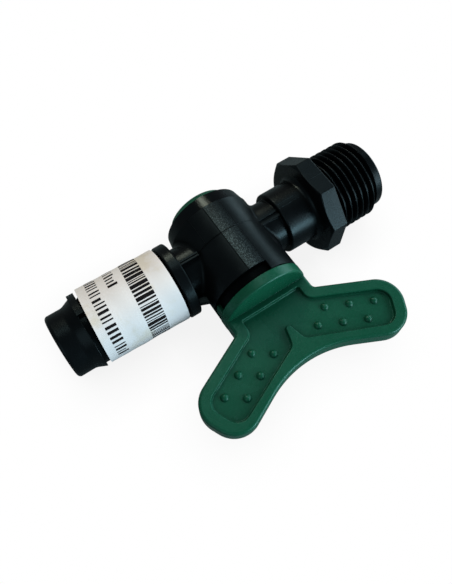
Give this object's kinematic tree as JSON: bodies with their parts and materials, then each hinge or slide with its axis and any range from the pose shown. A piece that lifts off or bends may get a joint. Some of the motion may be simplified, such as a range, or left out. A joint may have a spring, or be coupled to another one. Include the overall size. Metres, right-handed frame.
{
  "type": "inline barbed valve",
  "caption": "Inline plug valve for soft garden pipe: barbed tail, quarter-turn butterfly handle and an octagonal collar behind a male pipe thread",
  "frame": {"origin": "centre of the shoulder that the male thread starts from, on the pipe's axis", "axes": "+X runs along the pipe out of the threaded end, the handle is on the -Y side of the pipe, and +Z is square to the handle's flat plate"},
  "size_m": [0.0897, 0.0546, 0.0246],
  "materials": {
    "body": "satin black moulded polypropylene",
    "handle": "satin dark green moulded plastic",
    "seal": "smooth nitrile rubber",
    "label": "white paper label, lightly coated"
  },
  "bodies": {
    "valve_body": {"valve_body": "body", "paper_label": "label"},
    "handle": {"plug_handle": "handle", "retaining_cap": "handle", "handle_side_o_ring": "seal", "cap_side_o_ring": "seal", "port_seal_front": "seal", "port_seal_back": "seal"}
  },
  "joints": [
    {"name": "handle_turn", "type": "hinge", "parent": "valve_body", "child": "handle", "pos_m": [-0.0278, 0, 0], "axis": [0, 1, 0], "range_deg": [0, 90]}
  ]
}
